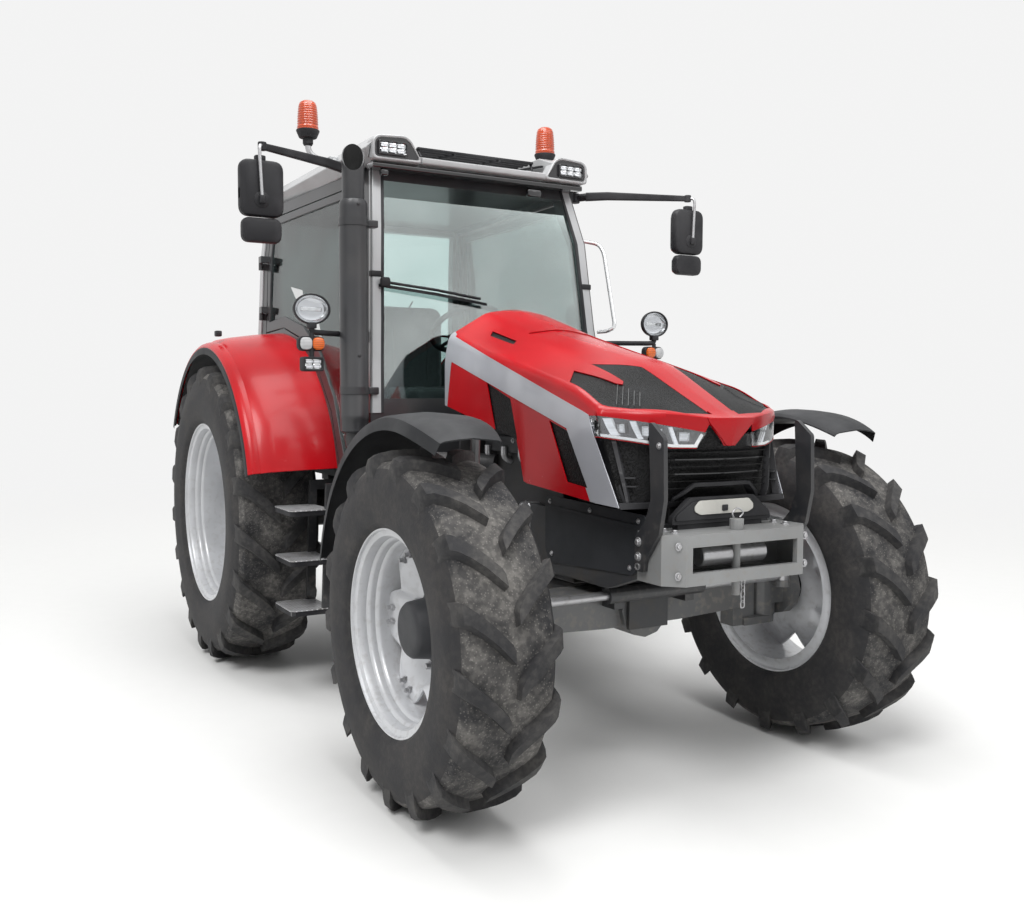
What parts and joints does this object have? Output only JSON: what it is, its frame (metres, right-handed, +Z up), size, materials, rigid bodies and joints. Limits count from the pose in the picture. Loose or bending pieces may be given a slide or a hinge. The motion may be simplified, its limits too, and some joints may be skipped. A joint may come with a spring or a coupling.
{
  "type": "farm tractor",
  "caption": "Four-wheel farm tractor with a closed glazed cab, a tilting bonnet, steered front wheels, mudguards and a three-point lift.",
  "frame": {"origin": "on the ground under the middle of the tractor's overall length", "axes": "+X forward, +Y to the driver's left, +Z up"},
  "size_m": [4.364, 2.596, 2.9887],
  "materials": {
    "red_paint": "glossy",
    "silver_paint": "satin",
    "grey_paint": "satin",
    "dark_paint": "satin",
    "cast_iron": "rough",
    "bare_steel": "satin",
    "steps_alloy": "satin",
    "tyre": "matte",
    "black_plastic": "matte",
    "lamp_plastic": "glossy",
    "amber_plastic": "glossy",
    "glass": "clear",
    "seat_fabric": "matte"
  },
  "bodies": {
    "chassis": {"transmission": "cast_iron", "engine_block": "cast_iron", "radiator": "dark_paint", "front_frame": "cast_iron", "front_axle": "grey_paint", "steering_cylinder": "dark_paint", "front_drive_shaft": "dark_paint", "weight_frame": "grey_paint", "guard_horns": "dark_paint", "rear_fenders": "red_paint", "fender_lips": "black_plastic", "cab_frame": "dark_paint", "cab_glass": "glass", "cab_roof": "silver_paint", "roof_bars": "dark_paint", "roof_lamps": "amber_plastic", "body_lamps": "black_plastic", "mirrors": "black_plastic", "exhaust_stack": "dark_paint", "fuel_tank": "black_plastic", "tool_box": "black_plastic", "cab_steps": "steps_alloy", "hitch_frame": "dark_paint", "seat_base": "black_plastic", "seat_pads": "seat_fabric", "cab_controls": "black_plastic"},
    "steer_left": {"knuckle_left": "grey_paint", "front_fender_left": "black_plastic"},
    "steer_right": {"knuckle_right": "grey_paint", "front_fender_right": "black_plastic"},
    "steer_rod": {"steering_rod": "bare_steel"},
    "wheel_front_left": {"front_tyre_left": "tyre", "front_rim_left": "silver_paint"},
    "wheel_front_right": {"front_tyre_right": "tyre", "front_rim_right": "silver_paint"},
    "wheel_rear_left": {"rear_tyre_left": "tyre", "rear_rim_left": "silver_paint"},
    "wheel_rear_right": {"rear_tyre_right": "tyre", "rear_rim_right": "silver_paint"},
    "door_left": {"door_left": "dark_paint", "door_glass_left": "glass"},
    "door_right": {"door_right": "dark_paint", "door_glass_right": "glass"},
    "hood": {"hood_bands": "silver_paint", "headlights": "lamp_plastic", "front_grille": "black_plastic", "hood_meshes": "black_plastic", "hood_shell": "red_paint"},
    "lower_link": {"lower_links": "dark_paint"},
    "lift_arm": {"lift_arms": "dark_paint"},
    "lift_rod": {"lift_rods": "dark_paint"}
  },
  "joints": [
    {"name": "steer_left_turn", "type": "hinge", "parent": "chassis", "child": "steer_left", "pos_m": [1.5, 0.72, 0.664], "axis": [0, 0, 1], "range_deg": [-42, 42]},
    {"name": "steer_right_turn", "type": "hinge", "parent": "chassis", "child": "steer_right", "pos_m": [1.5, -0.72, 0.664], "axis": [0, 0, 1], "range_deg": [-42.5, 42.5]},
    {"name": "steer_rod_slide", "type": "slide", "parent": "chassis", "child": "steer_rod", "axis": [0, 1, 0], "range_m": [-0.108, 0.108]},
    {"name": "front_left_roll", "type": "hinge", "parent": "steer_left", "child": "wheel_front_left", "pos_m": [1.5, 0.918, 0.664], "axis": [0, 1, 0], "continuous": true},
    {"name": "front_right_roll", "type": "hinge", "parent": "steer_right", "child": "wheel_front_right", "pos_m": [1.5, -0.918, 0.664], "axis": [0, 1, 0], "continuous": true},
    {"name": "rear_left_roll", "type": "hinge", "parent": "chassis", "child": "wheel_rear_left", "pos_m": [-1.05, 0.93, 0.842], "axis": [0, 1, 0], "continuous": true},
    {"name": "rear_right_roll", "type": "hinge", "parent": "chassis", "child": "wheel_rear_right", "pos_m": [-1.05, -0.93, 0.842], "axis": [0, 1, 0], "continuous": true},
    {"name": "door_left_swing", "type": "hinge", "parent": "chassis", "child": "door_left", "pos_m": [-1.275, 0.725, 2], "axis": [0, 0, 1], "range_deg": [0, 75]},
    {"name": "door_right_swing", "type": "hinge", "parent": "chassis", "child": "door_right", "pos_m": [-1.275, -0.725, 2], "axis": [0, 0, -1], "range_deg": [0, 75]},
    {"name": "hood_lift", "type": "hinge", "parent": "chassis", "child": "hood", "pos_m": [0.6, 0, 1.65], "axis": [0, -1, 0], "range_deg": [0, 50]},
    {"name": "hitch_lift", "type": "hinge", "parent": "chassis", "child": "lower_link", "pos_m": [-1.15, 0, 0.5], "axis": [0, 1, 0], "range_deg": [-14, 24]},
    {"name": "lift_arm_turn", "type": "hinge", "parent": "chassis", "child": "lift_arm", "pos_m": [-1.29, 0, 1.12], "axis": [0, 1, 0], "range_deg": [-22.5, 38.5]},
    {"name": "lift_rod_turn", "type": "hinge", "parent": "lift_arm", "child": "lift_rod", "pos_m": [-1.61, 0, 1.15], "axis": [0, 1, 0], "range_deg": [-36, 21]}
  ],
  "couplings": [
    {"joint": "steer_right_turn", "follows": "steer_left_turn", "ratio": 1},
    {"joint": "steer_rod_slide", "follows": "steer_left_turn", "m_per_rad": 0.146},
    {"joint": "lift_arm_turn", "follows": "hitch_lift", "ratio": 1.587},
    {"joint": "lift_rod_turn", "follows": "hitch_lift", "ratio": -1.484}
  ]
}
